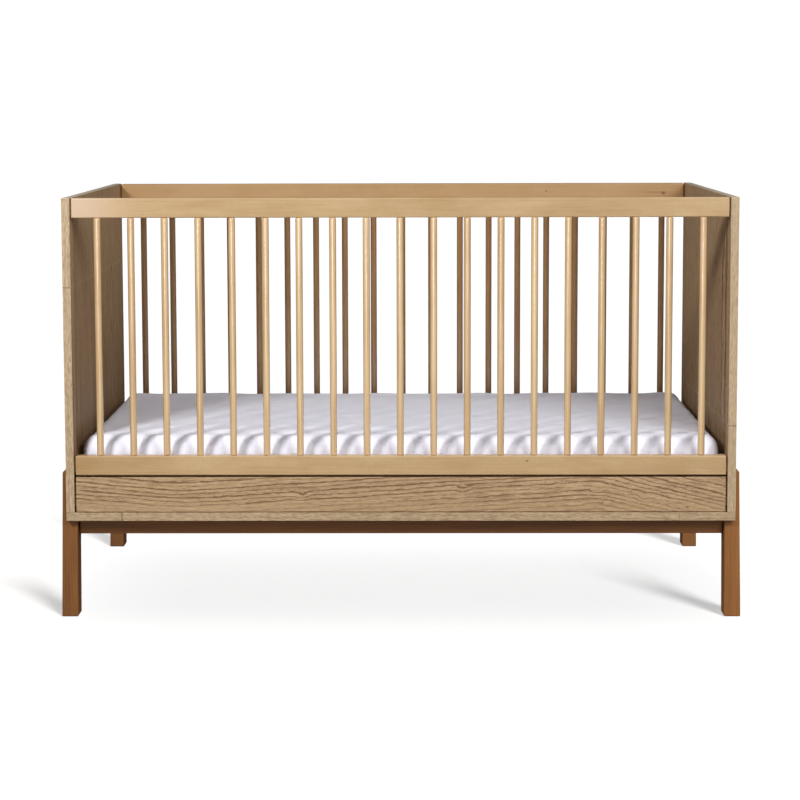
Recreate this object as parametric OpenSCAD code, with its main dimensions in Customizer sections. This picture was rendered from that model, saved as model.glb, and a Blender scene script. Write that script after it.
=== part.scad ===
// A baby crib with two veneered end panels, two sides of round spindles and a slatted
// base that is set at one of three heights. It stands on four legs.
// The origin is on the floor under the middle of the crib. The front faces -Y.

/* [Overall] */
// Width over the two end panels
body_w = 1440; // [1380:5:1500]
// Depth of the end panels, front to back
body_d = 750; // [720:5:800]
// Height of the end panels' top edge above the floor
body_h = 910; // [880:5:1000]

/* [Boards] */
// Thickness of the veneered boards
board_t = 18; // [16:1:20]
// Rounding of the boards' edges
board_r = 1.5; // [0.5:0.25:2]
// Width of the two bottom boards under the end panels
end_board_w = 120; // [80:5:200]
// Width of the bottom boards along the front and the rear
side_board_w = 100; // [80:5:200]
// Height of the fascias between the bottom boards and the lower rails
fascia_h = 75; // [60:1:76]
// Shadow gap at each end of a fascia
fascia_gap = 3.5; // [2:0.5:5]
// Shadow gap under a fascia
fascia_lift = 1.5; // [0.5:0.5:3]

/* [Legs] */
// Clear height under the bottom boards
leg_h = 214; // [180:2:214]
// Width of a foot on the floor
foot_w = 35; // [30:1:45]
// Width of a leg at its shoulder
shoulder_w = 33; // [28:1:40]
// Depth of a leg, front to back
leg_d = 45; // [35:1:60]
// How far a foot stands out past the end panel
foot_out = 15.4; // [12:0.2:20]
// Thickness of the tongue at its top, outside the end panel
tongue_t = 9.1; // [8:0.1:11]
// Height of the tongue above the shoulder
tongue_h = 108; // [90:2:140]
// How far the legs are set back from the end panel's edges
leg_setback = 14; // [5:1:25]
// Rounding of the legs' edges
leg_r = 2.5; // [1:0.5:4]
// Height of a stretcher
stretcher_h = 35; // [25:1:60]
// Thickness of a stretcher
stretcher_t = 22; // [18:1:26]
// How far a stretcher is set back from the legs' outer faces
stretcher_setback = 20; // [5:1:22]

/* [Sides] */
// Height of a rail
rail_h = 42; // [40:1:50]
// Thickness of a rail
rail_t = 24; // [22:1:28]
// Rounding of the rails' edges
rail_r = 2.5; // [1:0.5:4]
// Shadow gap between a rail's end and the end panel
rail_gap = 3; // [1.5:0.5:4]
// How far a rail is set back from the end panels' edges
rail_setback = 2; // [0:0.5:5]
// Height of the lower rails' underside above the floor
lower_rail_z = 313; // [313:1:330]
// Number of spindles in each side
spindle_count = 19; // [15:1:19]
// Distance between two spindles' centres
spindle_pitch = 71.8; // [60:0.1:72]
// Diameter of a spindle
spindle_d = 15; // [13:0.5:18]
// Diameter of the tenon at each end of a spindle
tenon_d = 8; // [6:0.5:10]
// Length of a tenon
tenon_l = 12; // [8:1:16]

/* [Base] */
// Number of heights that the base can be set at
level_count = 3; // [2:1:3]
// Distance between two heights
level_step = 130; // [100:5:130]
// Height of the support pegs' centres above the floor, at the lowest setting
peg_z = 245; // [245:1:248]
// Distance of the support pegs' centres from the end panels' edges
peg_inset = 40; // [39:0.5:42]
// Width of the base's two long rails
base_rail_w = 22; // [18:1:22]
// Height of the base's two long rails
base_rail_h = 24; // [22:1:26]
// Number of slats in the base
slat_count = 14; // [10:1:16]
// Width of a slat
slat_w = 60; // [40:2:70]
// Thickness of a slat
slat_t = 12; // [10:1:14]

/* [Mattress] */
// Gap between the mattress and each end panel
mattress_end_gap = 8; // [4:1:20]
// Gap between the mattress and the lower rails
mattress_side_gap = 5; // [3:1:15]
// Thickness of the mattress
mattress_t = 114; // [80:2:120]
// Rounding of the mattress's edges and corners
mattress_r = 28; // [10:1:35]

/* [Fasteners] */
// Diameter of the rail bolts' shanks and of the pegs' threads
bolt_d = 6; // [5:0.5:6]
// Length of a rail bolt under its head
bolt_l = 56; // [50:1:60]
// Diameter of a rail bolt's flat head
bolt_head_d = 15; // [12:0.5:18]
// Thickness of a rail bolt's head
bolt_head_t = 2.5; // [2:0.25:3]
// Diameter of a barrel nut
nut_d = 10; // [9:0.5:11]
// Length of a barrel nut
nut_l = 14; // [12:1:16]
// Diameter of a support peg
peg_d = 10; // [8:0.5:10]
// How far a peg stands out of the end panel
peg_out = 20; // [16:1:24]
// Diameter of a threaded insert
insert_d = 10; // [9:0.5:11]
// Length of a threaded insert
insert_l = 12; // [10:1:13]
// Diameter of a leg screw's shank
screw_d = 4.5; // [4:0.5:5]
// Diameter of a leg screw's countersunk head
screw_head_d = 9; // [8:0.5:10]
// Length of a leg screw
screw_l = 25; // [23:0.5:25]

/* [Hidden] */
$fn = 48;
fit = 0.05; // radial clearance of a tenon, nut or insert in its hole
bolt_play = 0.3; // radial clearance of a bolt in its hole
peg_play = 0.3; // clearance of a peg in its notch
cut = 1; // how far a cutting tool reaches past a face
sunk = 0.2; // how far a bolt's head or an insert lies under the board's face
hex_depth = 5; // depth of a peg's hexagon socket
board_top = leg_h + board_t;
panel_in = body_w / 2 - board_t;
panel_h = body_h - board_top;
rail_len = 2 * (panel_in - rail_gap);
rail_y = body_d / 2 - rail_setback - rail_t / 2;
rail_drop = 0.5; // how far the upper rails lie under the end panels' top edge
upper_rail_z = body_h - rail_drop - rail_h;
pad_inset = 6; // how far a rail's hidden end pad is smaller than the rail
fascia_len = 2 * (panel_in - fascia_gap);
fascia_y = body_d / 2 - rail_setback - board_t / 2;
leg_y = body_d / 2 - leg_setback - leg_d / 2;
tongue_r = 7; // rounding of a tongue's top
foot_bevel = 2;
stretcher_gap = 3; // how far a stretcher's end stays inside the foot's inner edge
stretcher_len = 2 * (body_w / 2 + foot_out - foot_w - stretcher_gap);
stretcher_y = body_d / 2 - leg_setback - stretcher_setback - stretcher_t / 2;
spindle_len = upper_rail_z - lower_rail_z - rail_h;
nut_from_end = 30; // from a rail's end to its barrel nut
peg_y = body_d / 2 - peg_inset;
base_gap = 4; // from a base rail's end to the end panel
base_r = 1; // rounding of the base's rails and slats
peg_rise = 7; // from a base rail's underside up to its pegs' centres
base_rail_len = 2 * (panel_in - base_gap);
base_rail_z = peg_z - peg_rise;
slat_z = base_rail_z + base_rail_h;
slat_len = 2 * (peg_y + base_rail_w / 2);
slat_step = (base_rail_len - slat_w) / (slat_count - 1);
mattress_z = slat_z + slat_t;
screw_rises = [25, 65]; // heights of the leg screws above the bottom boards
countersink_t = (screw_head_d - screw_d) / 2;

function spindle_name(side, i) = str(side, "_spindle_", i < 10 ? "0" : "", i);

SIDE_SPINDLES = [for (side = ["front", "rear"], i = [1:spindle_count]) spindle_name(side, i)];

// Shapes that several pieces use

// A rectangle with rounded corners, centred on the origin
module rounded_rect(w, h, r) {
    square([w - 2 * r, h], center = true);
    square([w, h - 2 * r], center = true);
    for (x = [-1, 1], y = [-1, 1])
        translate([x * (w / 2 - r), y * (h / 2 - r)]) circle(r);
}

// A bar or board with every edge rounded, centred in X and Y, standing on z = 0
module rounded_block(x, y, z, r) {
    translate([0, 0, z / 2]) intersection() {
        linear_extrude(z, center = true) rounded_rect(x, y, r);
        rotate([90, 0, 0]) linear_extrude(y, center = true) rounded_rect(x, z, r);
        rotate([90, 0, 90]) linear_extrude(x, center = true) rounded_rect(y, z, r);
    }
}

// A round bar along X, from x = from to x = to
module bar_x(d, from, to) {
    translate([from, 0, 0]) rotate([0, 90, 0]) cylinder(d = d, h = to - from);
}

// Its children on the +X side and mirrored to the -X side
module both_ends() {
    children();
    mirror([1, 0, 0]) children();
}

// Its children at the rear and mirrored to the front
module both_sides() {
    children();
    mirror([0, 1, 0]) children();
}

// Centres of the four rail bolts in the +X end panel
module at_rail_bolts() {
    both_sides()
        for (z = [lower_rail_z, upper_rail_z])
            translate([0, rail_y, z + rail_h / 2]) children();
}

// Centres of the leg screws in the +X end panel
module at_leg_screws() {
    both_sides()
        for (rise = screw_rises)
            translate([panel_in, leg_y, board_top + rise]) children();
}

// Centres of the base's inserts in the +X end panel
module at_inserts(levels) {
    both_sides()
        for (i = [0:levels - 1])
            translate([panel_in, peg_y, peg_z + i * level_step]) children();
}

// A countersunk screw with its head's face at x = 0, pointing to +X
module screw(clearance = 0) {
    rotate([0, 90, 0]) {
        cylinder(d1 = screw_head_d + 2 * clearance, d2 = screw_d + 2 * clearance, h = countersink_t);
        cylinder(d = screw_d + 2 * clearance, h = screw_l + clearance);
    }
}

// End panels, bottom boards and fascias

// The end panel at +X: rail bolts from outside, inserts and leg screws from inside
module end_panel() {
    color("burlywood") difference() {
        translate([panel_in + board_t / 2, 0, board_top])
            rounded_block(board_t, body_d, panel_h, board_r);
        at_rail_bolts() {
            bar_x(bolt_d + 2 * bolt_play, panel_in - cut, body_w / 2 + cut);
            bar_x(bolt_head_d + 2 * bolt_play, body_w / 2 - bolt_head_t, body_w / 2 + cut);
        }
        at_inserts(level_count) bar_x(insert_d + 2 * fit, -cut, insert_l + cut);
        at_leg_screws() screw(fit);
    }
}

module end_panel_left() { mirror([1, 0, 0]) end_panel(); }
module end_panel_right() { end_panel(); }

// The two boards that run front to back under the end panels and over the legs
module bottom_end_boards() {
    color("burlywood") both_ends()
        translate([body_w / 2 - end_board_w / 2, 0, leg_h])
            rounded_block(end_board_w, body_d, board_t, board_r / 2);
}

// The two boards between them, along the front and the rear
module bottom_side_boards() {
    color("burlywood") both_sides()
        translate([0, body_d / 2 - side_board_w / 2, leg_h])
            rounded_block(body_w - 2 * end_board_w, side_board_w, board_t, board_r / 2);
}

// A fascia, with pads at its ends that bear on the end panels
module fascia() {
    color("burlywood") translate([0, fascia_y, board_top + fascia_lift]) {
        rounded_block(fascia_len, board_t, fascia_h, board_r / 2);
        translate([0, 0, fascia_h / 2])
            cube([2 * panel_in, board_t - 2 * pad_inset, fascia_h - 4 * pad_inset], center = true);
    }
}

module front_fascia() { mirror([0, 1, 0]) fascia(); }
module rear_fascia() { fascia(); }

// Legs and stretchers

// The leg's outline seen from the front: it narrows upwards, has a shoulder under the
// bottom board and a tongue with a round top outside the end panel
module leg_outline() {
    x0 = body_w / 2 + foot_out;
    top = leg_h + tongue_h;
    x1 = body_w / 2 + tongue_t;
    lean = (x0 - x1) / top;
    xs = x0 - lean * leg_h - shoulder_w;
    polygon([
        [x0 - foot_w + foot_bevel, 0], [x0 - foot_bevel, 0], [x0, foot_bevel],
        [x1 + lean * tongue_r, top - tongue_r], [x1 - tongue_r, top],
        [body_w / 2, top], [body_w / 2, leg_h], [xs, leg_h], [x0 - foot_w, foot_bevel]
    ]);
    translate([body_w / 2, top - tongue_r]) intersection() {
        translate([tongue_t + (lean - 1) * tongue_r, 0]) circle(tongue_r);
        square(2 * tongue_r);
    }
}

// The leg at +X and the rear, with its long edges rounded
module leg() {
    x0 = body_w / 2 + foot_out;
    top = leg_h + tongue_h;
    out_lean = atan((foot_out - tongue_t) / top);
    x_shoulder = x0 - leg_h * tan(out_lean) - shoulder_w;
    in_lean = atan((x0 - foot_w - x_shoulder) / leg_h);
    slab = 3 * foot_w;
    color("sienna") difference() {
        intersection() {
            translate([0, leg_y + leg_d / 2, 0])
                rotate([90, 0, 0]) linear_extrude(leg_d) leg_outline();
            translate([x0, leg_y, 0]) rotate([0, -out_lean, 0])
                translate([-slab / 2, 0, -cut]) linear_extrude(2 * top) rounded_rect(slab, leg_d, leg_r);
            translate([x0 - foot_w, leg_y, 0]) rotate([0, -in_lean, 0])
                translate([slab / 2, 0, -cut]) linear_extrude(2 * top) rounded_rect(slab, leg_d, leg_r);
            translate([0, leg_y, top / 2]) rotate([90, 0, 90])
                linear_extrude(body_w) rounded_rect(leg_d, top, leg_r);
        }
        at_leg_screws() screw(fit);
    }
}

module leg_front_left() { mirror([1, 0, 0]) mirror([0, 1, 0]) leg(); }
module leg_front_right() { mirror([0, 1, 0]) leg(); }
module leg_rear_left() { mirror([1, 0, 0]) leg(); }
module leg_rear_right() { leg(); }

module stretchers() {
    color("sienna") both_sides()
        translate([0, stretcher_y, leg_h - stretcher_h])
            rounded_block(stretcher_len, stretcher_t, stretcher_h, board_r);
}

// Sides: rails and spindles

// A rail at the rear, at height z. Spindle holes are above it or below it, and the
// barrel nuts go in from below.
module rail(z, holes_above) {
    hole_depth = tenon_l + cut;
    nut_hole_h = rail_h / 2 + nut_l / 2;
    color("burlywood") translate([0, rail_y, z]) difference() {
        union() {
            rounded_block(rail_len, rail_t, rail_h, rail_r);
            translate([0, 0, rail_h / 2])
                cube([2 * panel_in, rail_t - 2 * pad_inset, rail_h - 2 * pad_inset], center = true);
        }
        for (i = [1:spindle_count])
            translate([spindle_x(i), 0, holes_above ? rail_h - hole_depth : -cut])
                cylinder(d = tenon_d + 2 * fit, h = hole_depth + cut);
        both_ends() {
            translate([0, 0, rail_h / 2])
                bar_x(bolt_d + 2 * bolt_play, body_w / 2 - bolt_l - cut, body_w / 2);
            translate([rail_len / 2 - nut_from_end, 0, -cut])
                cylinder(d = nut_d + 2 * fit, h = nut_hole_h + cut);
        }
    }
}

function spindle_x(i) = (i - (spindle_count + 1) / 2) * spindle_pitch;

module front_top_rail() { mirror([0, 1, 0]) rail(upper_rail_z, false); }
module front_lower_rail() { mirror([0, 1, 0]) rail(lower_rail_z, true); }
module rear_top_rail() { rail(upper_rail_z, false); }
module rear_lower_rail() { rail(lower_rail_z, true); }

// Half of a spindle's outline: a round bar with rounded shoulders and a tenon at each end
module spindle_outline() {
    r = spindle_d / 2;
    shoulder_r = r - tenon_d / 2;
    translate([0, shoulder_r]) square([r, spindle_len - 2 * shoulder_r]);
    translate([0, -tenon_l]) square([tenon_d / 2, spindle_len + 2 * tenon_l]);
    for (z = [shoulder_r, spindle_len - shoulder_r])
        translate([r - shoulder_r, z]) circle(shoulder_r);
}

// Spindle i of the front side (side = -1) or the rear side (side = 1)
module spindle(side, i) {
    color("burlywood") translate([spindle_x(i), side * rail_y, lower_rail_z + rail_h])
        rotate_extrude() intersection() {
            spindle_outline();
            translate([0, -tenon_l]) square([spindle_d, spindle_len + 2 * tenon_l]);
        }
}

// Base and mattress

// The base's two long rails, each with a notch at each end that sits on a peg
module base_rails() {
    notch_w = peg_d + 2 * peg_play;
    color("wheat") both_sides() difference() {
        translate([0, peg_y, base_rail_z])
            rounded_block(base_rail_len, base_rail_w, base_rail_h, base_r);
        both_ends() translate([0, peg_y, peg_z]) {
            bar_x(notch_w, panel_in - peg_out - cut, panel_in + cut);
            translate([panel_in - peg_out - cut, -notch_w / 2, -base_rail_h])
                cube([peg_out + 2 * cut, notch_w, base_rail_h]);
        }
    }
}

module base_slats() {
    color("wheat")
        for (i = [0:slat_count - 1])
            translate([-base_rail_len / 2 + slat_w / 2 + i * slat_step, 0, slat_z])
                rounded_block(slat_w, slat_len, slat_t, base_r);
}

module mattress() {
    color("ghostwhite") translate([0, 0, mattress_z])
        rounded_block(2 * (panel_in - mattress_end_gap),
                      2 * (rail_y - rail_t / 2 - mattress_side_gap),
                      mattress_t, mattress_r);
}

// Fasteners

// Flat-head bolts through the end panels, each with its barrel nut in the rail
module rail_bolt_sets() {
    head_face = body_w / 2;
    hex_key = 4;
    socket = 2;
    color("silver") both_ends() at_rail_bolts() {
        difference() {
            union() {
                bar_x(bolt_d, head_face - bolt_l, head_face);
                bar_x(bolt_head_d, head_face - bolt_head_t, head_face - sunk);
            }
            translate([head_face - socket, 0, 0]) rotate([0, 90, 0])
                cylinder(d = hex_key, h = socket + cut, $fn = 6);
        }
        difference() {
            translate([rail_len / 2 - nut_from_end, 0, 0]) cylinder(d = nut_d, h = nut_l, center = true);
            bar_x(bolt_d + 2 * fit, head_face - bolt_l - cut, head_face);
        }
    }
}

module leg_screws() {
    color("silver") both_ends() at_leg_screws() screw();
}

// Pegs screwed into the lowest inserts, one under each end of the base's rails
module support_pegs() {
    hex_key = 5;
    color("silver") both_ends() at_inserts(1) difference() {
        union() {
            bar_x(peg_d, -peg_out, 0);
            bar_x(bolt_d, 0, insert_l);
        }
        translate([-peg_out - cut, 0, 0]) rotate([0, 90, 0]) cylinder(d = hex_key, h = hex_depth + cut, $fn = 6);
    }
}

module height_inserts() {
    color("goldenrod") both_ends() at_inserts(level_count) difference() {
        bar_x(insert_d, sunk, insert_l + sunk);
        bar_x(bolt_d + 2 * fit, -cut, insert_l + cut);
    }
}

end_panel_left();
end_panel_right();
bottom_end_boards();
bottom_side_boards();
front_fascia();
rear_fascia();
leg_front_left();
leg_front_right();
leg_rear_left();
leg_rear_right();
stretchers();
front_top_rail();
front_lower_rail();
rear_top_rail();
rear_lower_rail();
base_rails();
base_slats();
mattress();
rail_bolt_sets();
leg_screws();
support_pegs();
height_inserts();
for (i = [1:spindle_count]) {
    spindle(-1, i);
    spindle(1, i);
}
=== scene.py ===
# %% [markdown]
# # A baby crib: veneered panels, round spindles and a fitted sheet
#
# The crib is a flat-pack piece. Two veneered end panels stand on a frame of four bottom
# boards, and carry two sides of rails and round spindles. Its timber parts come from the
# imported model, exact and already in place. What they lack is a finish, and the mattress is
# still a plain block. So this lesson loads the model, writes one wood after another as
# node maths, makes the mattress in its cotton sheet, and then lights and frames the crib.

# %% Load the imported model
import math

import bmesh
import bpy
import numpy as np
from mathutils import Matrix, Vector


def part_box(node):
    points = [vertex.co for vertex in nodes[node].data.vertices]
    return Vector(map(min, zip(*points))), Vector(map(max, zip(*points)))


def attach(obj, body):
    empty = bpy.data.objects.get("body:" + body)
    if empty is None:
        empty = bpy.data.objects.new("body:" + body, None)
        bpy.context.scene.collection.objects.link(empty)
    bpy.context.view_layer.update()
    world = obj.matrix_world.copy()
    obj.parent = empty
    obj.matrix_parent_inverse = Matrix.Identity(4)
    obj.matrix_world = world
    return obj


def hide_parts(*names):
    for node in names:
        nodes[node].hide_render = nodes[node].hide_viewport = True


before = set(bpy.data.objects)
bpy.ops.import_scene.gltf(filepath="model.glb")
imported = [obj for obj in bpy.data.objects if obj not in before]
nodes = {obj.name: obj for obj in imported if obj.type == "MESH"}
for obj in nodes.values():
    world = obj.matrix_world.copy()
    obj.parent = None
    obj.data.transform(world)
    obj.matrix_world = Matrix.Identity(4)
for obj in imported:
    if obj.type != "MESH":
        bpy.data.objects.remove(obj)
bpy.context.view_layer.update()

# %% [markdown]
# ## Places that the finishes refer to
#
# Wood grain is the record of a tree, so the same board shows other lines on its face than
# on its edge. Each finish below therefore works in metres on Object coordinates, which are
# the same for every piece here because all of them sit at the origin. A knot or a glue
# line gets its place once, as a named value, and the boxes of the nodes give the rest.

# %% Named places, in metres
panel_low, panel_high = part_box("end_panel_right")
pad_low, pad_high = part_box("mattress")
GLUE_LINE_LEFT = 0.719
GLUE_LINE_RIGHT = 0.420
SPINDLE_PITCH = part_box("front_spindle_02")[0].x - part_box("front_spindle_01")[0].x
print("panel", panel_low[:], panel_high[:], "spindle pitch", round(SPINDLE_PITCH, 4))

# %% [markdown]
# ## Shader maths written as Python
#
# A procedural wood is mostly arithmetic: distances, waves and masks. Node by node that is
# unreadable, so one small class wraps an output socket and lets `+`, `-`, `*` and `/` add
# the Math node, or the Vector Math node where the socket carries a vector. Every other node
# comes from `Finish.node`, which takes its type, its settings and what goes into it.

# %% A socket that can be calculated with
class Wire:
    """An output socket. Arithmetic on it adds the node that works it out."""

    def __init__(self, finish, socket):
        self.finish, self.socket = finish, socket

    def _join(self, operation, first, second):
        plain = self.socket.type == "VALUE"
        kind = "ShaderNodeMath" if plain else "ShaderNodeVectorMath"
        if not plain:
            first, second = [(v,) * 3 if isinstance(v, (int, float)) else v for v in (first, second)]
        return self.finish.node(kind, {"operation": operation}, {0: first, 1: second})

    def __add__(self, other):
        return self._join("ADD", self, other)

    def __sub__(self, other):
        return self._join("SUBTRACT", self, other)

    def __rsub__(self, other):
        return self._join("SUBTRACT", other, self)

    def __mul__(self, other):
        return self._join("MULTIPLY", self, other)

    def __truediv__(self, other):
        return self._join("DIVIDE", self, other)


# %% A node tree and a material that are being written
class Nodes:
    """A node tree, and the one method that adds nodes to it."""

    def __init__(self, tree):
        self.tree = tree

    def node(self, kind, settings, sockets, output=0):
        """Adds one node. Settings are set first, then each socket gets a value or a link."""
        made = self.tree.nodes.new(kind)
        for name, value in settings.items():
            setattr(made, name, value)
        for key, value in sockets.items():
            if isinstance(value, Wire):
                self.tree.links.new(value.socket, made.inputs[key])
            else:
                made.inputs[key].default_value = value
        return Wire(self, made.outputs[output])


class Finish(Nodes):
    """A material with a Principled shader. Its constants are set on the shader's sockets."""

    def __init__(self, name, **constants):
        self.material = bpy.data.materials.new(name)
        self.material.use_nodes = True
        super().__init__(self.material.node_tree)
        self.shader = self.tree.nodes["Principled BSDF"]
        for socket, value in constants.items():
            self.shader.inputs[socket.replace("_", " ")].default_value = value
        self.place = self.node("ShaderNodeTexCoord", {}, {}, "Object")
        parts = [self.node("ShaderNodeSeparateXYZ", {}, {0: self.place}, i) for i in range(3)]
        self.x, self.y, self.z = parts

    def math(self, operation, *values):
        return self.node("ShaderNodeMath", {"operation": operation}, dict(enumerate(values)))

    def vector(self, x, y, z):
        return self.node("ShaderNodeCombineXYZ", {}, {0: x, 1: y, 2: z})

    def noise(self, place, detail=2.0, roughness=0.5, output="Fac"):
        """Smooth noise around 0.5. The place is already scaled: one unit is one blob."""
        sockets = {"Vector": place, "Scale": 1.0, "Detail": detail, "Roughness": roughness}
        return self.node("ShaderNodeTexNoise", {}, sockets, output)

    def step(self, value, low, high, to_low=0.0, to_high=1.0):
        """Rises smoothly from to_low to to_high while value goes from low to high."""
        settings = {"interpolation_type": "SMOOTHSTEP"}
        sockets = dict(enumerate([value, low, high, to_low, to_high]))
        return self.node("ShaderNodeMapRange", settings, sockets)

    def bell(self, value, centre, width):
        """1 where value is centre, and near 0 a width away from it."""
        away = (value - centre) / width
        return self.math("POWER", math.e, away * away * -1.0)

    def mix(self, share, first, second, blend="MIX"):
        """Blends two colours."""
        settings = {"data_type": "RGBA", "blend_type": blend, "clamp_factor": True}
        return self.node("ShaderNodeMix", settings, {0: share, 6: opaque(first), 7: opaque(second)}, 2)

    def feed(self, **wires):
        """Links wires to the shader's own sockets."""
        for socket, wire in wires.items():
            self.tree.links.new(wire.socket, self.shader.inputs[socket.replace("_", " ")])

    def bump(self, height, distance, strength=1.0):
        """A height from 0 to 1 as relief of that distance in metres."""
        sockets = {"Height": height, "Distance": distance, "Strength": strength}
        return self.node("ShaderNodeBump", {}, sockets, "Normal")

    def coat(self, *names):
        """Gives nodes or pieces this material."""
        for name in names:
            mesh = bpy.data.objects[name].data
            mesh.materials.clear()
            mesh.materials.append(self.material)


def opaque(colour):
    return (*colour, 1.0) if isinstance(colour, tuple) and len(colour) == 3 else colour


def into_scene(thing):
    bpy.context.scene.collection.objects.link(thing)
    return thing


# %% [markdown]
# ## One tree for every board
#
# A tree is a stack of cones, near enough cylinders, round its pith. A board is a plane cut
# through them, so its figure is the distance from the pith, divided by the width of a year
# and folded into bands. Where the pith runs just behind the face and wanders, the bands
# close into the arches that joiners call cathedrals. That one distance field gives a face
# and its edges the same tree, which a picture or a stripe pattern can't do.

# %% Growth rings and what lies along them
def fibres(finish, along, across, depth, length, width, detail=2.0):
    """Noise drawn out along the grain: streaks of that length and width, around 0.5."""
    return finish.noise(finish.vector(along / length, across / width, depth / width), detail)


def years_from_pith(finish, across, depth, year):
    """The distance from the pith in years: the root of the two squares, over a year's width."""
    return finish.math("SQRT", across * across + depth * depth) / year


def late_wood(finish, years):
    """The dark line that ends each year: it darkens over a third of the year and stops short.
    Each year has its own strength, drawn from its whole number."""
    part = finish.math("FRACT", years)
    line = finish.step(part, 0.50, 0.88) * finish.step(part, 0.90, 1.0, 1.0, 0.0)
    year = finish.math("FLOOR", years)
    strength = finish.node("ShaderNodeTexWhiteNoise", {"noise_dimensions": "1D"}, {"W": year})
    return line * (strength * 0.75 + 0.25)


# %% [markdown]
# ## Oak veneer: panels, boards and fascias
#
# A ring-porous wood shows each year as a row of open pores, so its lines look drawn and a
# little ragged. Two sizes of streak noise push the rings about before they are folded, a
# coarse one for the long waves and a fine one for the ragged edge. Pores are a third,
# very thin streak noise that is cut off high, and they show most in the dark of a year.

# %% The veneer's figure
VENEER_LIGHT = (0.640, 0.450, 0.265)
VENEER_DARK = (0.245, 0.140, 0.066)
VENEER_PORE = (0.150, 0.080, 0.036)
INNER_PAINTED_SHADE = (0.215, 0.125, 0.060)


def veneer_colour(finish, along, across, depth, years, contrast=1.0):
    """Base colour of a veneer from its place in the grain and its distance from the pith."""
    waves = fibres(finish, along, across, depth, 0.14, 0.016) - 0.5
    ragged = fibres(finish, along, across, depth, 0.020, 0.0035) - 0.5
    pushed = years + waves * 1.1 + ragged * 0.6
    line = late_wood(finish, pushed) + late_wood(finish, pushed * 3.1) * 0.5
    streak = fibres(finish, along, across, depth, 0.040, 0.0030, 3.0) - 0.5
    speck = fibres(finish, along, across, depth, 0.012, 0.0022, 1.0) - 0.5
    cloud = fibres(finish, along, across, depth, 0.35, 0.05) - 0.5
    dark = (line * 1.05 + streak * 1.2 + speck * 0.7 + cloud * 0.4) * contrast + 0.20
    pores = finish.step(fibres(finish, along, across, depth, 0.009, 0.0007, 1.0), 0.63, 0.74)
    colour = finish.mix(dark, VENEER_LIGHT, VENEER_DARK)
    return finish.mix(pores * (line * 0.6 + 0.25), colour, VENEER_PORE), dark, pores


def veneer_surface(finish, dark, pores):
    """Open-pored and matt: pores sink, and the dark lines lie a little lower."""
    height = 1.0 - (pores * 0.7 + dark * 0.3)
    finish.feed(Normal=finish.bump(height, 0.0006, 0.8), Roughness=dark * 0.12 + 0.52)


# %% [markdown]
# ### The fascias
#
# The fascia's face is one flat-sawn sheet with its grain along the crib. Its pith lies below
# the lower edge and wanders up and down along the log, so the lines dip towards a valley in
# the left third, climb slowly to a peak in the right third, and fall again to the end. Three
# straight runs joined by a smooth maximum and a smooth minimum are all that such a figure
# needs. The lowest strip is cut nearer to the quarter, so it is finer and calmer.

# %% Fascia finish
PITH_HEIGHT = 0.140
PITH_DEPTH = 0.045
YEAR = 0.0082
VALLEY_X, VALLEY_FALL = -0.480, -0.090
CLIMB = 0.062
PEAK_X, PEAK_FALL = 0.423, -0.230
CALM_BELOW, LIVELY_ABOVE = 0.244, 0.268
SWIRLS = [(-0.211, 0.268), (0.135, 0.281), (0.423, 0.279), (0.520, 0.262)]
FASCIA_KNOT = (0.6165, 0.2436)
FASCIA_FACE = -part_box("front_fascia")[0].y


def knot(finish, across, along, place, size):
    """1 in the middle of a small round knot, falling to 0 at its rim, longer along the grain."""
    return finish.bell(along, place[0], size * 1.3) * finish.bell(across, place[1], size)


oak_fascia = Finish("oak_fascia")
x, z = oak_fascia.x, oak_fascia.z
from_valley, from_peak = x - VALLEY_X, x - PEAK_X
pith_rise = oak_fascia.math("SMOOTH_MAX", from_valley * VALLEY_FALL, from_valley * CLIMB, 0.012)
peak_rise = (PEAK_X - VALLEY_X) * CLIMB
pith_rise = oak_fascia.math("SMOOTH_MIN", pith_rise, from_peak * PEAK_FALL + peak_rise, 0.006)
lift = z - PITH_HEIGHT - pith_rise
for place in SWIRLS:
    lift = lift + knot(oak_fascia, z, x, place, 0.010) * 0.007
face = oak_fascia.math("ABSOLUTE", oak_fascia.y)
rings = years_from_pith(oak_fascia, lift, PITH_DEPTH + FASCIA_FACE - face, YEAR)
lively = oak_fascia.step(z, CALM_BELOW, LIVELY_ABOVE, 0.60, 1.10)
colour, dark, pores = veneer_colour(oak_fascia, x, z, face, rings, lively)
spot = knot(oak_fascia, z, x, FASCIA_KNOT, 0.0022)
oak_fascia.feed(Base_Color=oak_fascia.mix(spot * 0.8, colour, VENEER_PORE))
veneer_surface(oak_fascia, dark, pores)
oak_fascia.coat("front_fascia", "rear_fascia")

# %% [markdown]
# ### The end panels
#
# Each panel is glued up from two boards, a tall one and a short one, and one panel is the
# other turned over. The grain stands upright. Stepping the pith sideways at the glue line
# makes the two boards two trees. The narrow edges are banded with a paler strip, which is
# finer and more even than the faces. The inner faces carry a painted shade: they are mixed
# deeper than the outer ones, most of all low down and on the left, because lamps alone left
# them too pale beside the white sheet. The right panel's upright edges are painted lighter,
# and the top edges are mixed towards a pale grey: both are painted light.

# %% Panel finish
EDGE_LIGHT = (0.660, 0.510, 0.335)
EDGE_DARK = (0.350, 0.240, 0.135)
TOP_EDGE_PAINTED_LIGHT = (0.800, 0.760, 0.680)
BAND = 0.0012
GLUE_WIDTH = 0.0011
PANEL_YEAR, BOARD_YEAR = 0.0085, 0.008


def edge_band(finish, along, across, depth):
    """The edge strip's colour: short fine streaks on a pale ground, with a few long ones."""
    short = fibres(finish, along, across, depth, 0.012, 0.0022, 3.0)
    long = fibres(finish, along, across, depth, 0.25, 0.004)
    return finish.mix(short * 2.2 + long * 0.9 - 1.1, EDGE_LIGHT, EDGE_DARK)


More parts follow.
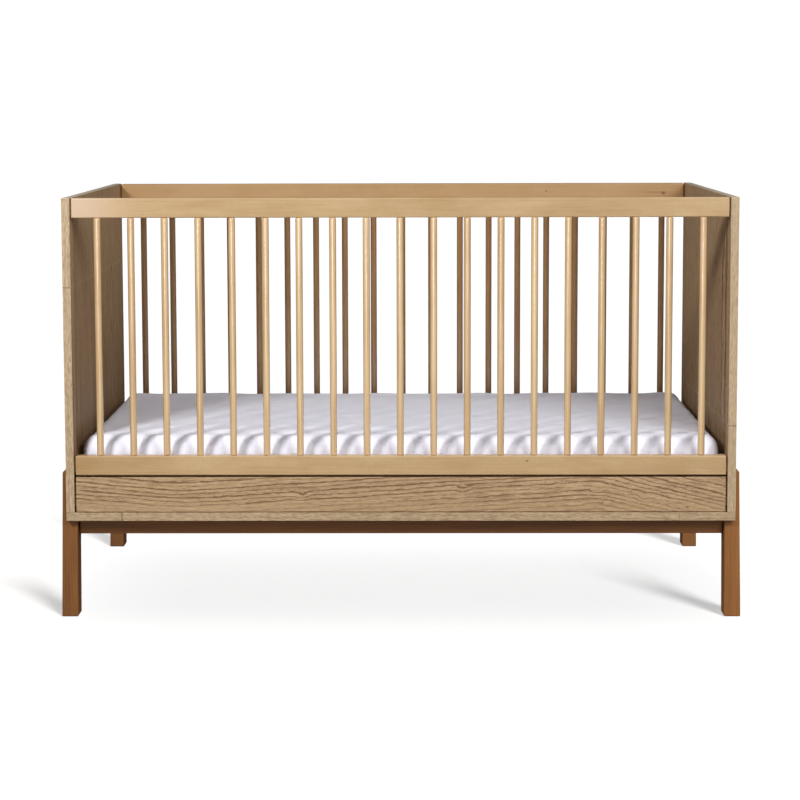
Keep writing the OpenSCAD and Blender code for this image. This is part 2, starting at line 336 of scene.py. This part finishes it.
oak_panel = Finish("oak_panel")
x, y, z = oak_panel.x, oak_panel.y, oak_panel.z
right = oak_panel.math("GREATER_THAN", x, 0.0)
glue = right * (GLUE_LINE_RIGHT - GLUE_LINE_LEFT) + GLUE_LINE_LEFT
upper = oak_panel.math("GREATER_THAN", z, glue)
tree = right * 0.31 + upper * 0.17
drift = oak_panel.noise(oak_panel.vector(z * 2.2, tree * 40.0, 0.0)) - 0.5
sideways = y + tree - 0.20 + drift * 0.10
behind = oak_panel.noise(oak_panel.vector(z * 1.7, tree * 31.0, 4.0)) * 0.09 + 0.01
outside = oak_panel.math("ABSOLUTE", x) - panel_low.x
rings = years_from_pith(oak_panel, sideways, behind + outside, PANEL_YEAR)
colour, dark, pores = veneer_colour(oak_panel, z, y + tree, x, rings)
inside = oak_panel.step(outside, BAND / 2, BAND, 1.0, 0.0)
shade_low_down = oak_panel.step(z, 0.30, 0.75, 0.85, 0.30)
band = fibres(oak_panel, z, y + tree, x, 0.80, 0.014, 1.0) * 1.6 + 0.2
# Painted shade on the inner faces: mixed deeper in long streaks, most low down and on the left.
colour = oak_panel.mix(inside * shade_low_down * band * (1.0 - right * 0.5), colour, INNER_PAINTED_SHADE)
edge = oak_panel.math("ABSOLUTE", y)
edge = oak_panel.step(edge, panel_high.y - BAND, panel_high.y - BAND / 2)
top = oak_panel.step(z, panel_high.z - BAND, panel_high.z - BAND / 2)
# Painted light: the right panel's upright edges are mixed three tenths towards the pale edge colour.
upright = oak_panel.mix(right * 0.30, edge_band(oak_panel, z, x, y), EDGE_LIGHT)
# Painted light: the top edges are mixed a third of the way to a pale grey.
level = oak_panel.mix(0.35, edge_band(oak_panel, y, x, z), TOP_EDGE_PAINTED_LIGHT)
colour = oak_panel.mix(edge, colour, upright)
colour = oak_panel.mix(top, colour, level)
seam = oak_panel.bell(z, glue, GLUE_WIDTH)
seam_colour = oak_panel.mix(edge, EDGE_LIGHT, VENEER_PORE)
oak_panel.feed(Base_Color=oak_panel.mix(seam * (0.75 - inside * 0.40), colour, seam_colour))
veneer_surface(oak_panel, dark, pores)
oak_panel.coat("end_panel_left", "end_panel_right")

# %% Bottom boards: the same veneer, with banded front and rear edges
def board_finish(name, lengthwise):
    """Oak with its grain along X if lengthwise, else along Y, and level bands on the edges."""
    made = Finish(name)
    along, across = (made.x, made.y) if lengthwise else (made.y, made.x)
    behind = made.noise(made.vector(along * 1.9, 0.0, 0.0)) * 0.08 + 0.02
    middle = made.math("ABSOLUTE", across) - (0.33 if lengthwise else 0.66)
    rings = years_from_pith(made, middle, behind + made.z - board_low.z, BOARD_YEAR)
    colour, dark, pores = veneer_colour(made, along, across, made.z, rings, 0.9)
    edge = made.step(made.math("ABSOLUTE", made.y), panel_high.y - BAND, panel_high.y - BAND / 2)
    colour = made.mix(edge, colour, edge_band(made, made.x, made.z, made.y))
    joint = made.bell(made.math("ABSOLUTE", made.x), board_joint, GLUE_WIDTH)
    joint = joint * made.step(made.x, -board_joint, board_joint, 0.9, 0.35)
    made.feed(Base_Color=made.mix(joint * edge, colour, VENEER_PORE))
    veneer_surface(made, dark, pores)
    return made


board_low, board_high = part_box("bottom_side_boards")
board_joint = board_high.x
board_finish("oak_side_boards", True).coat("bottom_side_boards")
board_finish("oak_end_boards", False).coat("bottom_end_boards")

# %% [markdown]
# ## Lacquered beech: rails and spindles
#
# Beech is close and even: faint years, and short brown flecks where rays of cells are cut
# across. The rails run along X and the spindles along Z, so one function takes the grain's
# directions. A clear satin lacquer puts a sharper gloss over the wood, which is what draws
# the bright line along every rounded edge.

# %% Beech
BEECH_LIGHT = (0.720, 0.525, 0.300)
BEECH_DARK = (0.470, 0.290, 0.130)
BEECH_FLECK = (0.330, 0.185, 0.080)
BEECH_PINK = (0.760, 0.585, 0.440)
BEECH_AMBER = (0.430, 0.220, 0.080)
BEECH_YEAR = 0.0042
KNOT_BROWN = (0.110, 0.050, 0.020)


def beech_colour(finish, along, across, depth, tone):
    """Beech from its place in the grain. Tone is 0.5 on average and darkens towards 1."""
    waves = fibres(finish, along, across, depth, 0.30, 0.020) - 0.5
    years = years_from_pith(finish, across + 0.06, depth + 0.05, BEECH_YEAR) + waves * 1.6
    line = late_wood(finish, years)
    streak = fibres(finish, along, across, depth, 0.09, 0.0030, 3.0) - 0.5
    fleck = finish.step(fibres(finish, along, across, depth, 0.0035, 0.0006, 0.0), 0.66, 0.76)
    cloud = fibres(finish, along, across, depth, 0.075, 0.030) - 0.5
    dark = line * 0.16 + streak * 0.45 + waves * 0.5 + cloud * 0.7 + tone - 0.08
    colour = finish.mix(dark, BEECH_LIGHT, BEECH_DARK)
    return finish.mix(fleck * 0.35, colour, BEECH_FLECK), dark


def lacquer(finish, dark, amount=0.35):
    """A satin coat over wood whose grain still shows a little in the gloss."""
    finish.shader.inputs["Coat Roughness"].default_value = 0.20
    finish.shader.inputs["Coat Weight"].default_value = amount
    finish.feed(Roughness=dark * 0.10 + 0.42, Normal=finish.bump(dark, 0.00012, 0.4))


# %% Rails, with the knots that sound timber may have
RAIL_KNOTS = [(0.2723, 0.344, 0.0018), (0.358, 0.8905, 0.0018), (0.6484, 0.885, 0.0034)]
KNOT_STREAK = (0.628, 0.8872)
PINK_END = -0.702
UPPER_RAILS_ABOVE = 0.6

beech_rail = Finish("beech_rail")
x, y, z = beech_rail.x, beech_rail.y, beech_rail.z
upper = beech_rail.math("GREATER_THAN", z, UPPER_RAILS_ABOVE)
rear = beech_rail.math("GREATER_THAN", y, 0.0)
piece = upper * 3.1 + rear * 1.7
tone = beech_rail.noise(beech_rail.vector(x * 3.5, piece, 0.0)) * 0.5 + 0.20 + upper * 0.08
# Towards their ends the rear rails get a painted shade, the shadow of the end panels. The low front rail is
# also darker towards its ends, most at the left.
ends = beech_rail.step(beech_rail.math("ABSOLUTE", x), 0.50, 0.70)
left_end = beech_rail.step(x, -0.70, -0.35, 1.0, 0.0)
low_front = (1.0 - upper) * (1.0 - rear)
tone = tone + ends * rear * 0.30 + (ends * 0.10 + left_end * 0.24) * low_front
colour, dark = beech_colour(beech_rail, x + piece, z, y, tone)
pink = beech_rail.bell(x, PINK_END, 0.10) * upper * (1.0 - rear)
colour = beech_rail.mix(pink * 0.70, colour, BEECH_PINK)
# Painted shade: the rear rails are mixed half towards amber.
colour = beech_rail.mix(rear * 0.5, colour, BEECH_AMBER)
swirl = beech_rail.bell(x, KNOT_STREAK[0], 0.030) * beech_rail.bell(z, KNOT_STREAK[1], 0.0012)
colour = beech_rail.mix(swirl * rear * 0.55, colour, KNOT_BROWN)
for centre_x, centre_z, size in RAIL_KNOTS:
    spot = knot(beech_rail, z, x, (centre_x, centre_z), size)
    side = rear if centre_z > UPPER_RAILS_ABOVE else 1.0 - rear
    colour = beech_rail.mix(spot * side * 0.9, colour, KNOT_BROWN)
beech_rail.feed(Base_Color=colour)
lacquer(beech_rail, dark)
beech_rail.coat("front_top_rail", "front_lower_rail", "rear_top_rail", "rear_lower_rail")

# %% Spindles: one tone each, drawn from their number and row
beech_spindle = Finish("beech_spindle")
x, y, z = beech_spindle.x, beech_spindle.y, beech_spindle.z
number = beech_spindle.math("ROUND", x / SPINDLE_PITCH)
rear = beech_spindle.math("GREATER_THAN", y, 0.0)
lot = beech_spindle.node("ShaderNodeTexWhiteNoise", {"noise_dimensions": "1D"},
                         {"W": number + rear * 50.0})
colour, dark = beech_colour(beech_spindle, z + lot * 3.0, x, y, lot * 0.35 + 0.10)
streak = fibres(beech_spindle, z + lot * 5.0, x, y, 0.20, 0.0022)
beech_spindle.feed(Base_Color=beech_spindle.mix(streak * 2.2 - 0.95, colour, BEECH_AMBER))
lacquer(beech_spindle, dark, 1.0)
spindles = [name for name in nodes if "_spindle_" in name]
beech_spindle.coat(*spindles)
print(len(spindles), "spindles in beech")

# %% [markdown]
# ## Stained beech: legs and stretchers
#
# The legs are the same timber with a brown stain under the lacquer. Stain soaks deeper
# where the grain opens, so the streaks get more contrast than in the clear wood. Each leg
# has a tone of its own.

# %% Stain
STAIN_LIGHT = (0.420, 0.175, 0.046)
STAIN_DARK = (0.160, 0.055, 0.014)


def stained(name, along, across, depth, tone):
    """Stained beech with its grain along one of x, y and z. A higher tone is a darker piece."""
    made = Finish(name)
    a, b, c = [getattr(made, axis) for axis in (along, across, depth)]
    waves = fibres(made, a, b, c, 0.35, 0.022) - 0.5
    streak = fibres(made, a, b, c, 0.10, 0.0026, 3.0) - 0.5
    fleck = made.step(fibres(made, a, b, c, 0.004, 0.0007, 0.0), 0.64, 0.76)
    dark = waves * 0.8 + streak * 0.9 + tone
    colour = made.mix(dark, STAIN_LIGHT, STAIN_DARK)
    made.feed(Base_Color=made.mix(fleck * 0.4, colour, STAIN_DARK))
    lacquer(made, dark, 0.5)
    return made


LEG_TONES = {"leg_front_left": 0.68, "leg_front_right": 0.26,
             "leg_rear_left": 0.42, "leg_rear_right": 0.02}
STRETCHER_TONE = 0.62

for leg, tone in LEG_TONES.items():
    stained("stained_" + leg, "z", "x", "y", tone).coat(leg)
stained("stained_stretchers", "x", "z", "y", STRETCHER_TONE).coat("stretchers")

# %% [markdown]
# ## Raw pine: the base
#
# The slats carry the mattress and are left unfinished. Pine has the plainest tree: wide
# pale years with a crisp amber line, and round knots.

# %% Pine
PINE_LIGHT = (0.790, 0.630, 0.400)
PINE_AMBER = (0.560, 0.340, 0.140)
PINE_YEAR = 0.0045
SLAT_PITCH = 0.1028


def pine(name, along, across, piece):
    """Pine with its grain along one axis. Piece is an axis along which pieces repeat."""
    made = Finish(name, Roughness=0.72)
    a, b, c = getattr(made, along), getattr(made, across), made.z
    lot = made.math("FLOOR", getattr(made, piece) / SLAT_PITCH) * 0.37
    waves = fibres(made, a + lot, b + lot, c, 0.30, 0.03) - 0.5
    behind = made.noise(made.vector(a * 2.0 + lot, lot, 0.0)) * 0.05 + 0.01
    rings = years_from_pith(made, b * 0.8 + waves * 0.02, behind + c - 0.27, PINE_YEAR)
    line = late_wood(made, rings)
    cells = made.node("ShaderNodeTexVoronoi", {}, {0: made.vector(a * 5.0 + lot, b * 22.0 + lot, 0.0)})
    eye = made.step(cells, 0.05, 0.11, 1.0, 0.0)
    colour = made.mix(line * 0.8 + waves * 0.3, PINE_LIGHT, PINE_AMBER)
    made.feed(Base_Color=made.mix(eye * 0.8, colour, KNOT_BROWN), Normal=made.bump(line, 0.0002, 0.4))
    return made


pine("pine_slats", "y", "x", "x").coat("base_slats")
pine("pine_rails", "x", "y", "y").coat("base_rails")

# %% [markdown]
# ## Metal: bolts, screws, pegs and inserts
#
# Zinc plate is a thin grey coat with cloudy patches, and the inserts are plain turned
# brass. Both are metallic, and only their roughness varies over the surface.

# %% Metal finishes
def metal(name, colour, rough, *names):
    """A metal whose roughness wanders with a cloudy noise."""
    made = Finish(name, Metallic=1.0, Base_Color=opaque(colour))
    cloud = made.noise(made.place * 180.0, 3.0)
    made.feed(Roughness=cloud * 0.3 + rough, Normal=made.bump(cloud, 0.0001, 0.3))
    made.coat(*names)


metal("zinc", (0.60, 0.61, 0.63), 0.22, "rail_bolt_sets", "leg_screws", "support_pegs")
metal("brass", (0.74, 0.56, 0.27), 0.18, "height_inserts")

# %% [markdown]
# ## The mattress in its fitted sheet
#
# Under the sheet is a block of foam with soft edges. The sheet is a knitted cotton bag that
# is tight all over: it draws the long edges in, leaves a rolled rim round the top, and
# puckers a little at the corners. Its hem lies under the block, against the slats, and is
# left out. The block could be a cube with a bevel, but then every edge would be the same
# quarter circle. Here six flat grids make the closed box, and one formula rounds it, with
# its own radius for the ends, the sides, the top and the underside.

# %% Six grids make a closed box
PAD_STEP = 0.011
PAD_TAKE_IN = 0.0002
END_ROLL, SIDE_ROLL = 0.022, 0.033
ROLL_ABOVE, ROLL_BELOW = 0.038, 0.020


def square_grid(origin, along, across):
    """Points at origin + u * along + v * across, about PAD_STEP apart, and their quads."""
    columns, rows = [round(float(np.linalg.norm(v)) / PAD_STEP) for v in (along, across)]
    u, v = np.meshgrid(np.linspace(0, 1, columns + 1), np.linspace(0, 1, rows + 1), indexing="ij")
    points = origin + u[..., None] * along + v[..., None] * across
    number = np.arange(u.size).reshape(u.shape)
    quads = np.stack([number[:-1, :-1], number[1:, :-1], number[1:, 1:], number[:-1, 1:]], -1)
    return points.reshape(-1, 3), quads.reshape(-1, 4)


def closed_box(low, high):
    """The six faces of a box as grids that all point outwards. Shared edges are still double."""
    width, depth, height = np.diag(high - low)
    sides = [(low, depth, width), (low + height, width, depth), (low, width, height),
             (low + depth, height, width), (low, height, depth), (low + width, depth, height)]
    points, quads, used = [], [], 0
    for side in sides:
        side_points, side_quads = square_grid(*side)
        points.append(side_points)
        quads.append(side_quads + used)
        used += len(side_points)
    return np.concatenate(points), np.concatenate(quads)


def rounded(points, low, high):
    """Rounds a box. Each point goes in to the core box, then out along an ellipse: its offset
    is divided by the radii, made one long, and multiplied by the radii again."""
    below = low + (END_ROLL, SIDE_ROLL, ROLL_BELOW)
    above = high - (END_ROLL, SIDE_ROLL, ROLL_ABOVE)
    offset = points - np.clip(points, below, above)
    core = points - offset
    radii = np.tile((END_ROLL, SIDE_ROLL, ROLL_ABOVE), (len(points), 1))
    radii[offset[:, 2] < 0, 2] = ROLL_BELOW
    unit = offset / radii
    unit /= np.linalg.norm(unit, axis=1, keepdims=True)
    return core + unit * radii


# %% From numbers to a mesh, and back
def piece_from(name, points, quads):
    """A smooth mesh object at the origin. Points that coincide become one."""
    mesh = bpy.data.meshes.new(name)
    mesh.from_pydata(points.tolist(), [], quads.tolist())
    shape = bmesh.new()
    shape.from_mesh(mesh)
    bmesh.ops.remove_doubles(shape, verts=shape.verts, dist=PAD_STEP * 0.01)
    shape.to_mesh(mesh)
    shape.free()
    mesh.shade_smooth()
    return into_scene(bpy.data.objects.new(name, mesh))


def points_of(mesh):
    flat = np.empty(len(mesh.vertices) * 3)
    mesh.vertices.foreach_get("co", flat)
    return flat.reshape(-1, 3)


def move_points(mesh, points):
    mesh.vertices.foreach_set("co", points.ravel())
    mesh.update()


take_in = np.array((PAD_TAKE_IN, PAD_TAKE_IN, 0.0))
box_low, box_high = np.array(pad_low) + take_in, np.array(pad_high) - take_in
box_points, box_quads = closed_box(box_low, box_high)
mattress = piece_from("fitted_sheet", rounded(box_points, box_low, box_high), box_quads)
print("mattress of", len(mattress.data.polygons), "quads")

# %% [markdown]
# ### Stuffing it
#
# Pressure from inside pushes the sheet out, and the Cloth simulation says which way each
# point goes. The underside is pinned, because it lies on slats. The amounts are not to be
# believed: half of the points move over 30 mm, and some 170 mm. So each move is cut to the
# cap, and only its direction comes from Cloth.

# %% Cloth simulation
PRESSURE = 4.0
LOOSE = -0.012
CAP = 0.0032
FRAMES = 20


def stuffed(piece):
    """Where Cloth takes each point of a closed piece in FRAMES steps, within the cap."""
    start = points_of(piece.data)
    lying = piece.vertex_groups.new(name="lying")
    lying.add(np.flatnonzero(start[:, 2] < pad_low.z + ROLL_BELOW / 2).tolist(), 1.0, "REPLACE")
    cloth = piece.modifiers.new("cloth", "CLOTH")
    cloth.settings.use_pressure = True
    cloth.settings.uniform_pressure_force = PRESSURE
    cloth.settings.shrink_min = LOOSE
    cloth.settings.vertex_group_mass = lying.name
    cloth.settings.effector_weights.gravity = 0.0
    for number in range(1, FRAMES + 1):
        bpy.context.scene.frame_set(number)
    swollen = points_of(piece.evaluated_get(bpy.context.evaluated_depsgraph_get()).data)
    piece.modifiers.remove(cloth)
    piece.vertex_groups.remove(lying)
    bpy.context.scene.frame_set(1)
    move = swollen - start
    length = np.linalg.norm(move, axis=1, keepdims=True)
    print("cloth moved a point by up to", round(float(length.max()) * 1000, 1), "mm")
    return start + move * np.minimum(1.0, CAP / np.maximum(length, 1e-9))


move_points(mattress.data, stuffed(mattress))

# %% [markdown]
# ### The rim and the folds
#
# Where the sheet turns over the edge it stands a little proud, and behind that rim it dips:
# that dip is the line which runs round the top. Loose cloth also makes folds that run out of
# the corners and slantwise over the top. Both are low waves, worked out for all points at
# once: a bell along the distance from the edge, and a sum of long sine waves.

# %% Rim and folds
RIM_IN, RIM_WIDTH, RIM_HEIGHT = 0.034, 0.018, 0.0020
DIP_IN, DIP_WIDTH, DIP_DEPTH = 0.066, 0.016, 0.0012
CROWN = 0.0030
FOLD_SEED, FOLD_COUNT, FOLD_HEIGHT = 11, 14, 0.00028
CORNER_FOLD_HEIGHT, CORNER_FOLD_REACH, CORNER_FOLDS = 0.0011, 0.13, 15.0


def bell(value, centre, width):
    return np.exp(-((value - centre) / width) ** 2)


def rim_and_folds(points):
    """How far each point of the top rises. The distance from the edge drives the rim, its
    dip and the crown, and the angle round each corner drives the puckers."""
    half = np.array((pad_high.x, pad_high.y))
    inside = half - np.abs(points[:, :2])
    edge = inside.min(axis=1)
    rise = RIM_HEIGHT * bell(edge, RIM_IN, RIM_WIDTH) - DIP_DEPTH * bell(edge, DIP_IN, DIP_WIDTH)
    rise += CROWN * np.prod(1 - (points[:, :2] / half) ** 2, axis=1)
    lots = np.random.default_rng(FOLD_SEED)
    for _ in range(FOLD_COUNT):
        angle, wavelength, phase = lots.uniform((-0.5, 0.045, 0.0), (0.9, 0.14, math.tau))
        run = points[:, 1] * math.cos(angle) - points[:, 0] * math.sin(angle)
        rise += FOLD_HEIGHT * np.sin(math.tau * run / wavelength + phase) * bell(edge, 0.05, 0.16)
    reach = np.hypot(*inside.T)
    turn = np.arctan2(inside[:, 1], inside[:, 0])
    corner = bell(reach, SIDE_ROLL, CORNER_FOLD_REACH)
    return rise + CORNER_FOLD_HEIGHT * np.sin(turn * CORNER_FOLDS) * corner


soft = points_of(mattress.data)
share = np.clip((soft[:, 2] - pad_low.z) / (pad_high.z - pad_low.z), 0, 1) ** 2
soft[:, 2] += rim_and_folds(soft) * share
soft[:, 2] = np.maximum(soft[:, 2], pad_low.z + 0.0004)
move_points(mattress.data, soft)
smooth = mattress.modifiers.new("smooth", "SUBSURF")
smooth.levels = smooth.render_levels = 1
print("mattress from", soft.min(axis=0).round(4), "to", soft.max(axis=0).round(4))

# %% [markdown]
# ### Cotton jersey
#
# Close to, the sheet is a knit: rows of loops less than a millimetre wide. They are too
# small to model, so two crossed waves raise them as relief. The white has a cool cast, fine
# slubs and a soft sheen.

# %% Cotton finish
COTTON = (0.815, 0.815, 0.920)
COTTON_SHADE = (0.740, 0.735, 0.830)
LOOP_WIDTH, LOOP_HEIGHT = 0.0012, 0.0009

cotton = Finish("cotton_jersey", Sheen_Weight=0.25, Sheen_Roughness=0.5, Roughness=0.85,
                Specular_IOR_Level=0.25)
x, y, z = cotton.x, cotton.y, cotton.z
columns = cotton.math("SINE", (x + z) * (math.tau / LOOP_WIDTH))
rows = cotton.math("SINE", (y + z) * (math.tau / LOOP_HEIGHT))
loops = columns * rows * 0.5 + 0.5
slubs = fibres(cotton, x, y, z, 0.030, 0.004, 3.0)
creases = fibres(cotton, x * 0.8 + y * 0.6, y * 0.8 - x * 0.6, z, 0.16, 0.022, 3.0)
cotton.feed(Base_Color=cotton.mix(slubs * 0.6 + loops * 0.2, COTTON, COTTON_SHADE))
relief = cotton.bump(loops, 0.0002, 0.5)
folded = cotton.node("ShaderNodeBump", {}, {"Height": creases, "Distance": 0.0025, "Strength": 0.7,
                                            "Normal": relief}, "Normal")
cotton.feed(Normal=folded)
cotton.coat("fitted_sheet")
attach(mattress, "mattress")
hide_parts("mattress")

# %% [markdown]
# ## The studio
#
# The crib is lit mostly by two soft boxes in front of it, one to each side and above head
# height. Light linking says which lamp reaches what, as a retoucher would dodge and burn.
# The sheet gets more of the soft boxes than the wood does. Three small lamps light only the
# front spindles: the two high ones catch the rounded shoulders, and the low one runs a line
# down the turned wood. The rear spindles are the same beech, but get little of the soft
# boxes, and a small warm lamp between the two rows that lights their inner side.
# Low fills light the outer faces at the sides and the back, for views from there. They are
# no higher than the rails, so the end panels keep the side ones out of the crib. The back one
# gives no gloss, which would glare on the inner faces, and little light to the end panels.
# A weak lamp overhead and a warm one at floor level stand in for a room and for the floor,
# which throws no light of its own on the crib.
# The white floor has lamps of its own. A wide one overhead leaves the soft shade under the
# crib, and a narrow one from the front right draws the legs' shadows. Each is blocked by only
# some of the pieces, so this is not the crib's full shadow.

# %% Camera
CAMERA_PLACE = (0.0347, -4.5625, 1.114)
CAMERA_PITCH, CAMERA_ROLL, CAMERA_YAW = 5.322, 0.133, 0.462
LENS = 88.91
SHIFT = -0.14375

camera = into_scene(bpy.data.objects.new("camera", bpy.data.cameras.new("camera")))
camera.location = CAMERA_PLACE
camera.rotation_euler = [math.radians(a) for a in (90 - CAMERA_PITCH, CAMERA_ROLL, CAMERA_YAW)]
camera.data.lens = LENS
camera.data.shift_y = SHIFT
bpy.context.scene.camera = camera

# %% Floor and surroundings: the backdrop is white to the camera, and dim as a light
PAPER_GLOW = 0.365
WHITE_SEEN = 1.05
WORLD_FILL = 0.025

floor_mesh = bpy.data.meshes.new("floor")
floor_mesh.from_pydata([(-60, -30, 0), (60, -30, 0), (60, 90, 0), (-60, 90, 0)], [], [(0, 1, 2, 3)])
floor = into_scene(bpy.data.objects.new("floor", floor_mesh))
floor.visible_diffuse = floor.visible_glossy = False
paper = Finish("paper", Roughness=1.0, Base_Color=(0.8, 0.8, 0.8, 1.0), Specular_IOR_Level=0.0,
               Emission_Color=(1.0, 1.0, 1.0, 1.0), Emission_Strength=PAPER_GLOW)
paper.coat("floor")

world = bpy.data.worlds.new("studio")
world.use_nodes = True
bpy.context.scene.world = world
sky = Nodes(world.node_tree)
to_camera = sky.node("ShaderNodeLightPath", {}, {}, "Is Camera Ray")
strength = to_camera * (WHITE_SEEN - WORLD_FILL) + WORLD_FILL
background = world.node_tree.nodes["Background"]
background.inputs["Color"].default_value = (1.0, 1.0, 1.0, 1.0)
world.node_tree.links.new(strength.socket, background.inputs["Strength"])
bpy.context.scene.view_settings.view_transform = "Standard"


# %% Lamps
def group_of(name, things):
    """A collection for light linking. It isn't part of the scene's own tree."""
    group = bpy.data.collections.new(name)
    for thing in things:
        group.objects.link(thing)
    return group


def lamp(name, kind, place, target, power, lights, blocked_by=None, **settings):
    """A lamp at a place that faces a target and reaches only one group of objects."""
    data = bpy.data.lights.new(name, kind)
    data.energy = power
    for setting, value in settings.items():
        setattr(data, setting, value)
    holder = into_scene(bpy.data.objects.new(name, data))
    holder.location = place
    holder.rotation_euler = (Vector(target) - Vector(place)).to_track_quat("-Z", "Y").to_euler()
    holder.light_linking.receiver_collection = lights
    if blocked_by:
        holder.light_linking.blocker_collection = blocked_by
    return holder


solid = {o.name: o for o in bpy.data.objects if o.type == "MESH" and o != floor}
front_row = [solid[n] for n in solid if n.startswith("front_spindle")]
rear_row = [solid[n] for n in solid if n.startswith("rear_spindle")]
crib = group_of("crib", [o for o in solid.values() if o not in front_row + rear_row + [mattress]])
front_spindles = group_of("front_spindles", front_row)
rear_spindles = group_of("rear_spindles", rear_row)
bedding = group_of("bedding", [mattress])
below_rail = group_of("below_rail", [o for o in solid.values() if o.name != "front_top_rail"])
ground = group_of("ground", [floor])
legs = group_of("legs", [nodes[n] for n in nodes if n.startswith("leg_") and n != "leg_screws"])
slats = group_of("slats", [nodes["base_slats"]])
MIDDLE = (0.0, 0.0, 0.55)
KEY_LEFT, KEY_LEFT_POWER, KEY_LEFT_SIZE = (-1.7, -2.0, 2.0), 46.0, 0.5
KEY_RIGHT, KEY_RIGHT_POWER, KEY_RIGHT_SIZE = (2.1, -2.6, 2.4), 88.0, 1.9
SHARES = [(crib, 1.0), (rear_spindles, 0.04), (bedding, 1.48)]
STRIPS = {"strip_left": ((-1.25, -3.0, 2.1), 63.0), "strip_right": ((1.25, -3.0, 2.1), 63.0),
          "strip_low": ((-0.45, -3.2, 0.60), 20.0)}
STRIP_SIZE = 0.4
WARM_PLACE, WARM_POWER, WARM_SIZE = (0.08, -0.15, 1.0), 1.1, 0.2
WARM = (1.0, 0.63, 0.36)
SIDE_FILL_X, SIDE_FILL_POWER, FILL_SIZE = 3.2, 34.0, 0.6
BACK_FILL, BACK_FILL_POWER, BACK_FILL_ON_PANELS = (0.0, 3.6, 0.75), 46.0, 10.0
GROUND = (0.0, 0.0, 0.0)
TOP_PLACE, TOP_POWER, TOP_SIZE = (0.0, 0.0, 3.2), 10.0, (2.5, 1.5)
BOUNCE_PLACE, BOUNCE_TARGET, BOUNCE_POWER = (0.0, -1.3, 0.02), (0.0, -0.3, 0.4), 5.0
BOUNCE_SIZE, BOUNCE_COLOUR = (3.0, 1.4), (1.0, 0.82, 0.60)
WASH_FROM, WASH_POWER, WASH_ANGLE = (0.0, 2.6, 6.0), 1.05, math.radians(85)
SUN_FROM, SUN_POWER, SUN_ANGLE = (0.90, -1.60, 1.35), 2.80, math.radians(16)


def soft_box(width, height):
    return {"shape": "RECTANGLE", "size": width, "size_y": height}


for group, share in SHARES:
    lamp("key_left_" + group.name, "AREA", KEY_LEFT, MIDDLE, KEY_LEFT_POWER * share, group,
         **soft_box(KEY_LEFT_SIZE, KEY_LEFT_SIZE))
    lamp("key_right_" + group.name, "AREA", KEY_RIGHT, MIDDLE, KEY_RIGHT_POWER * share, group,
         **soft_box(KEY_RIGHT_SIZE, KEY_RIGHT_SIZE))
for name, (place, power) in STRIPS.items():
    lamp(name, "AREA", place, MIDDLE, power, front_spindles, below_rail, **soft_box(STRIP_SIZE, STRIP_SIZE))
lamp("warm", "AREA", WARM_PLACE, (0.0, panel_high.y, MIDDLE[2]), WARM_POWER, rear_spindles, rear_spindles,
     color=WARM, **soft_box(WARM_SIZE, WARM_SIZE))
for side, name in ((-1, "fill_left"), (1, "fill_right")):
    lamp(name, "AREA", (side * SIDE_FILL_X, 0.0, MIDDLE[2]), MIDDLE, SIDE_FILL_POWER, crib,
         **soft_box(FILL_SIZE, FILL_SIZE))
panels = group_of("panels", [nodes["end_panel_left"], nodes["end_panel_right"]])
between = group_of("between", [o for o in solid.values() if o != mattress and o.name not in panels.objects])
for group, power in ((between, BACK_FILL_POWER), (panels, BACK_FILL_ON_PANELS)):
    back = lamp("fill_back_" + group.name, "AREA", BACK_FILL, MIDDLE, power, group,
                **soft_box(FILL_SIZE, FILL_SIZE))
    back.visible_glossy = False
for name, group in (("top", crib), ("top_bedding", bedding)):
    lamp(name, "AREA", TOP_PLACE, GROUND, TOP_POWER, group, **soft_box(*TOP_SIZE))
lamp("floor_bounce", "AREA", BOUNCE_PLACE, BOUNCE_TARGET, BOUNCE_POWER, crib,
     color=BOUNCE_COLOUR, **soft_box(*BOUNCE_SIZE))
lamp("floor_wash", "SUN", WASH_FROM, GROUND, WASH_POWER, ground, slats, angle=WASH_ANGLE)
lamp("floor_side", "SUN", SUN_FROM, GROUND, SUN_POWER, ground, legs, angle=SUN_ANGLE)
